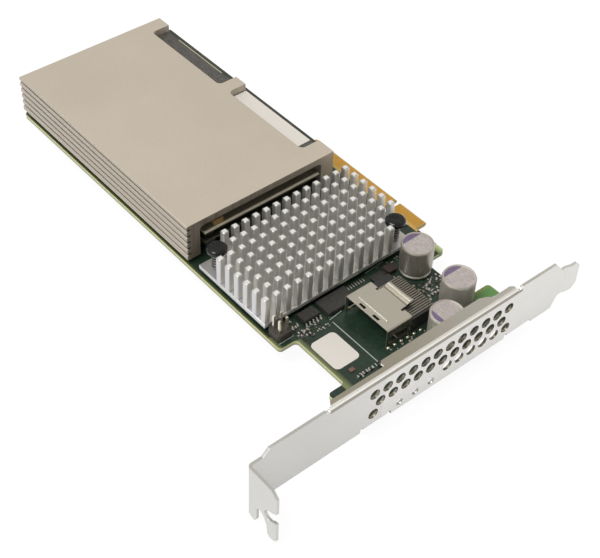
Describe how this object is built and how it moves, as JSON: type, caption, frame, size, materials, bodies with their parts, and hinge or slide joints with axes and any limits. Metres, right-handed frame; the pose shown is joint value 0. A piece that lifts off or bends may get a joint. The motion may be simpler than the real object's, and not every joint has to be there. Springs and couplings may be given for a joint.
{
  "type": "storage controller card",
  "caption": "Low-profile plug-in storage controller board on a full-height vented bracket, with finned flash cover, pin heat sink, can capacitors and an internal cable connector.",
  "frame": {"origin": "under the middle of the card's bounding box, level with the lowest point of the bracket's screw tab", "axes": "+X from the bracket to the board's far end, +Y towards the bracket's screw tab and away from the gold edge contacts, +Z out of the component side"},
  "size_m": [0.1784, 0.12, 0.0224],
  "materials": {
    "laminate": "dark green solder mask over glass laminate",
    "gold": "hard gold plating",
    "bracket_steel": "satin nickel plate",
    "screw_steel": "bright zinc plate",
    "cover_aluminium": "fine blasted, taupe anodised",
    "package_black": "moulded epoxy",
    "chip_substrate": "laminate with a plated lid",
    "pad_grey": "soft silicone gap pad",
    "label_white": "blank polyester label",
    "socket_black": "moulded socket plastic",
    "sink_aluminium": "plain extruded, cross-cut",
    "nylon_black": "moulded nylon",
    "can_aluminium": "deep drawn, lightly coated",
    "seal_rubber": "moulded rubber",
    "tin": "tin plate",
    "shell_steel": "satin tin plate",
    "chip_tan": "fired ceramic with tinned ends",
    "case_amber": "moulded resin",
    "chip_dark": "glazed film with tinned ends"
  },
  "bodies": {
    "root": {"circuit_board": "laminate", "upper_module_board": "laminate", "lower_module_board": "laminate", "edge_contacts_top": "gold", "edge_contacts_bottom": "gold", "header_pins": "gold", "bracket": "bracket_steel", "bracket_screws": "screw_steel", "cover_screws": "screw_steel", "module_screws": "screw_steel", "cover_spacers": "screw_steel", "module_spacers": "screw_steel", "push_pin_springs": "screw_steel", "flash_cover": "cover_aluminium", "upper_flash_chips": "package_black", "lower_flash_chips": "package_black", "memory_chips": "package_black", "outline_chip": "package_black", "bridge_chip": "package_black", "power_coil": "package_black", "controller_chip": "chip_substrate", "thermal_pad": "pad_grey", "controller_pad": "pad_grey", "module_label": "label_white", "board_label": "label_white", "module_connectors": "socket_black", "connector_housing": "socket_black", "header_base": "socket_black", "pin_heat_sink": "sink_aluminium", "push_pins": "nylon_black", "capacitor_rear": "can_aluminium", "capacitor_middle": "can_aluminium", "capacitor_front": "can_aluminium", "capacitor_seals": "seal_rubber", "capacitor_leads": "tin", "connector_upper_tails": "tin", "connector_lower_tails": "tin", "chip_leads": "tin", "coil_terminals": "tin", "connector_shell": "shell_steel", "chip_capacitors": "chip_tan", "module_capacitor": "case_amber", "chip_resistors": "chip_dark"}
  },
  "joints": []
}
